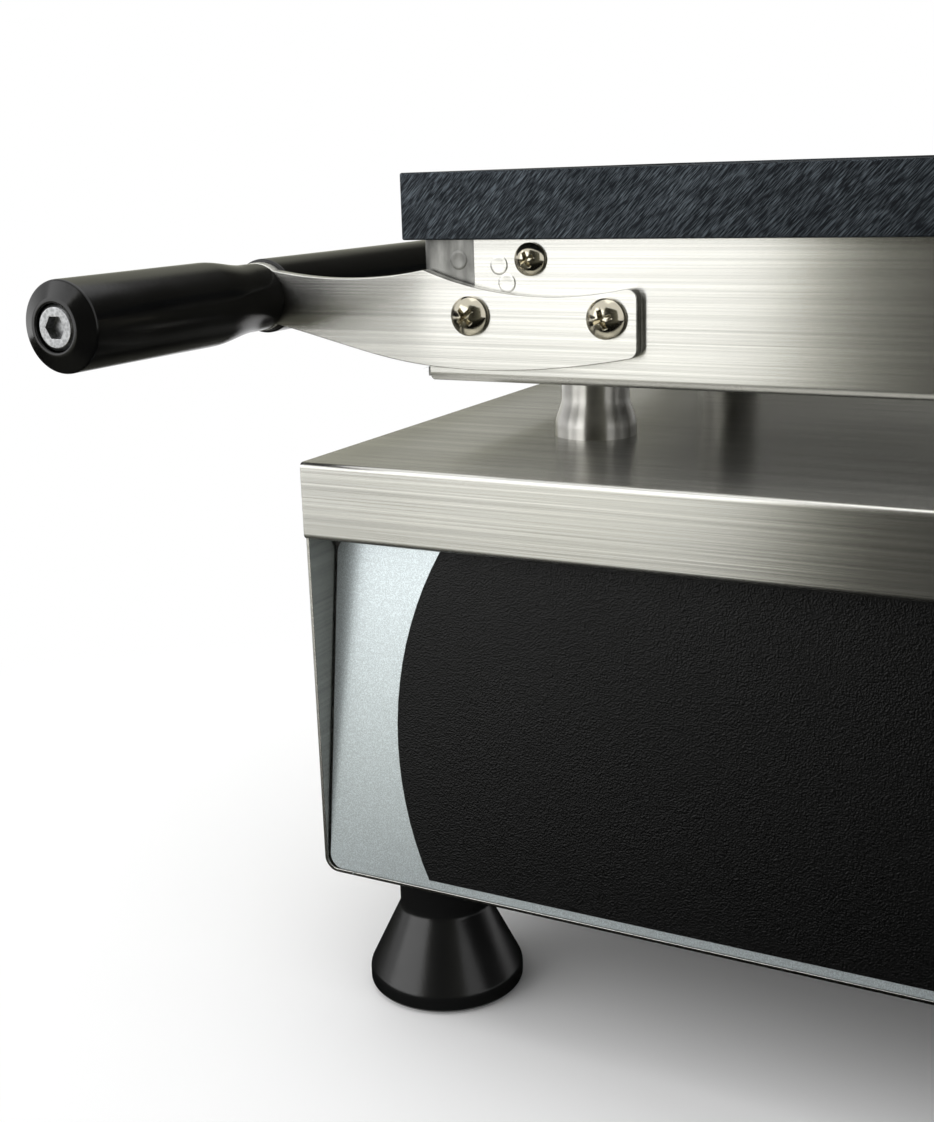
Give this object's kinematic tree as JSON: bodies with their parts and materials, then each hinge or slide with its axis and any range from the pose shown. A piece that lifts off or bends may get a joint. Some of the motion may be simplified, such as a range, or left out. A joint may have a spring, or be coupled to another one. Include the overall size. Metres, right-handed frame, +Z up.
{
  "type": "rotating waffle maker",
  "caption": "Counter-top electric waffle maker whose flat cast-iron plates open like a book and turn over on a central hinge by side handles.",
  "frame": {"origin": "on the floor, at the middle of the outer box", "axes": "+X to the right along the base, +Y to the back, +Z up"},
  "size_m": [0.6524, 0.379, 0.29],
  "materials": {
    "brushed_stainless": "long horizontal brushing, satin",
    "silver_panel": "silver grey with a fine metallic sparkle, satin",
    "black_overlay": "black film with a fine leather-like texture",
    "screws": "bright domed heads",
    "zinc_steel": "zinc plated",
    "turned_steel": "turned, bright",
    "ground_iron": "ground blue-black, fine diagonal scratches on its edges",
    "grip_black": "moulded glossy black",
    "foot_black": "moulded semi-gloss black",
    "knob_black": "satin black",
    "black_moulding": "moulded black",
    "white_moulding": "off-white ceramic",
    "switch_red": "glossy red",
    "lamp_lens": "translucent amber",
    "element_steel": "heat-tinted sheath",
    "mineral_wool": "pressed mineral wool",
    "copper_bulb": "plain copper"
  },
  "bodies": {
    "base": {"base_shell": "brushed_stainless", "top_cover": "brushed_stainless", "front_panel": "silver_panel", "fascia_overlay": "black_overlay", "rear_panel": "brushed_stainless", "rear_panel_screws": "screws", "base_bolts": "zinc_steel", "hinge_pillar_front": "turned_steel", "hinge_pillar_rear": "turned_steel", "hinge_axle": "turned_steel", "axle_nuts": "screws", "timer": "black_moulding", "thermostat": "zinc_steel", "power_switch": "black_moulding", "pilot_lamps": "lamp_lens", "terminal_block": "white_moulding", "cable_gland": "black_moulding", "foot_front_left": "foot_black", "foot_front_right": "foot_black", "foot_rear_left": "foot_black", "foot_rear_right": "foot_black", "support_post_left_front": "turned_steel", "support_post_left_rear": "turned_steel", "support_post_right_front": "turned_steel", "support_post_right_rear": "turned_steel"},
    "left_iron": {"left_casing": "brushed_stainless", "left_end_cap": "brushed_stainless", "left_plate": "ground_iron", "left_heater": "element_steel", "left_heater_clamp": "zinc_steel", "left_insulation": "mineral_wool", "left_casing_screws": "screws", "left_bracket_front": "brushed_stainless", "left_bracket_rear": "brushed_stainless", "left_bracket_screws": "screws", "left_handle_bar": "grip_black", "left_handle_grip": "grip_black", "left_handle_bolt": "zinc_steel", "left_hinge_ear_front": "brushed_stainless", "left_hinge_ear_rear": "brushed_stainless", "left_thermostat_bulb": "copper_bulb"},
    "right_iron": {"right_casing": "brushed_stainless", "right_end_cap": "brushed_stainless", "right_plate": "ground_iron", "right_heater": "element_steel", "right_heater_clamp": "zinc_steel", "right_insulation": "mineral_wool", "right_casing_screws": "screws", "right_bracket_front": "brushed_stainless", "right_bracket_rear": "brushed_stainless", "right_bracket_screws": "screws", "right_handle_bar": "grip_black", "right_handle_grip": "grip_black", "right_handle_bolt": "zinc_steel", "right_hinge_ear_front": "brushed_stainless", "right_hinge_ear_rear": "brushed_stainless", "right_cutout_bulb": "copper_bulb"},
    "timer_knob": {"timer_knob": "knob_black"},
    "thermostat_knob": {"thermostat_knob": "knob_black"},
    "switch_rocker": {"switch_rocker": "switch_red"}
  },
  "joints": [
    {"name": "left_iron_swing", "type": "hinge", "parent": "base", "child": "left_iron", "pos_m": [0, 0.03035, 0.278], "axis": [0, 1, 0], "range_deg": [0, 180]},
    {"name": "right_iron_swing", "type": "hinge", "parent": "base", "child": "right_iron", "pos_m": [0, 0.03035, 0.278], "axis": [0, -1, 0], "range_deg": [0, 180]},
    {"name": "timer_turn", "type": "hinge", "parent": "base", "child": "timer_knob", "pos_m": [0.02, -0.10997, 0.10616], "axis": [0, 0.9903, -0.1392], "range_deg": [0, 300]},
    {"name": "thermostat_turn", "type": "hinge", "parent": "base", "child": "thermostat_knob", "pos_m": [0.11, -0.10997, 0.10616], "axis": [0, 0.9903, -0.1392], "range_deg": [0, 270]},
    {"name": "switch_rock", "type": "hinge", "parent": "base", "child": "switch_rocker", "pos_m": [0.222, -0.10839, 0.10594], "axis": [1, 0, 0], "range_deg": [0, 20]}
  ]
}
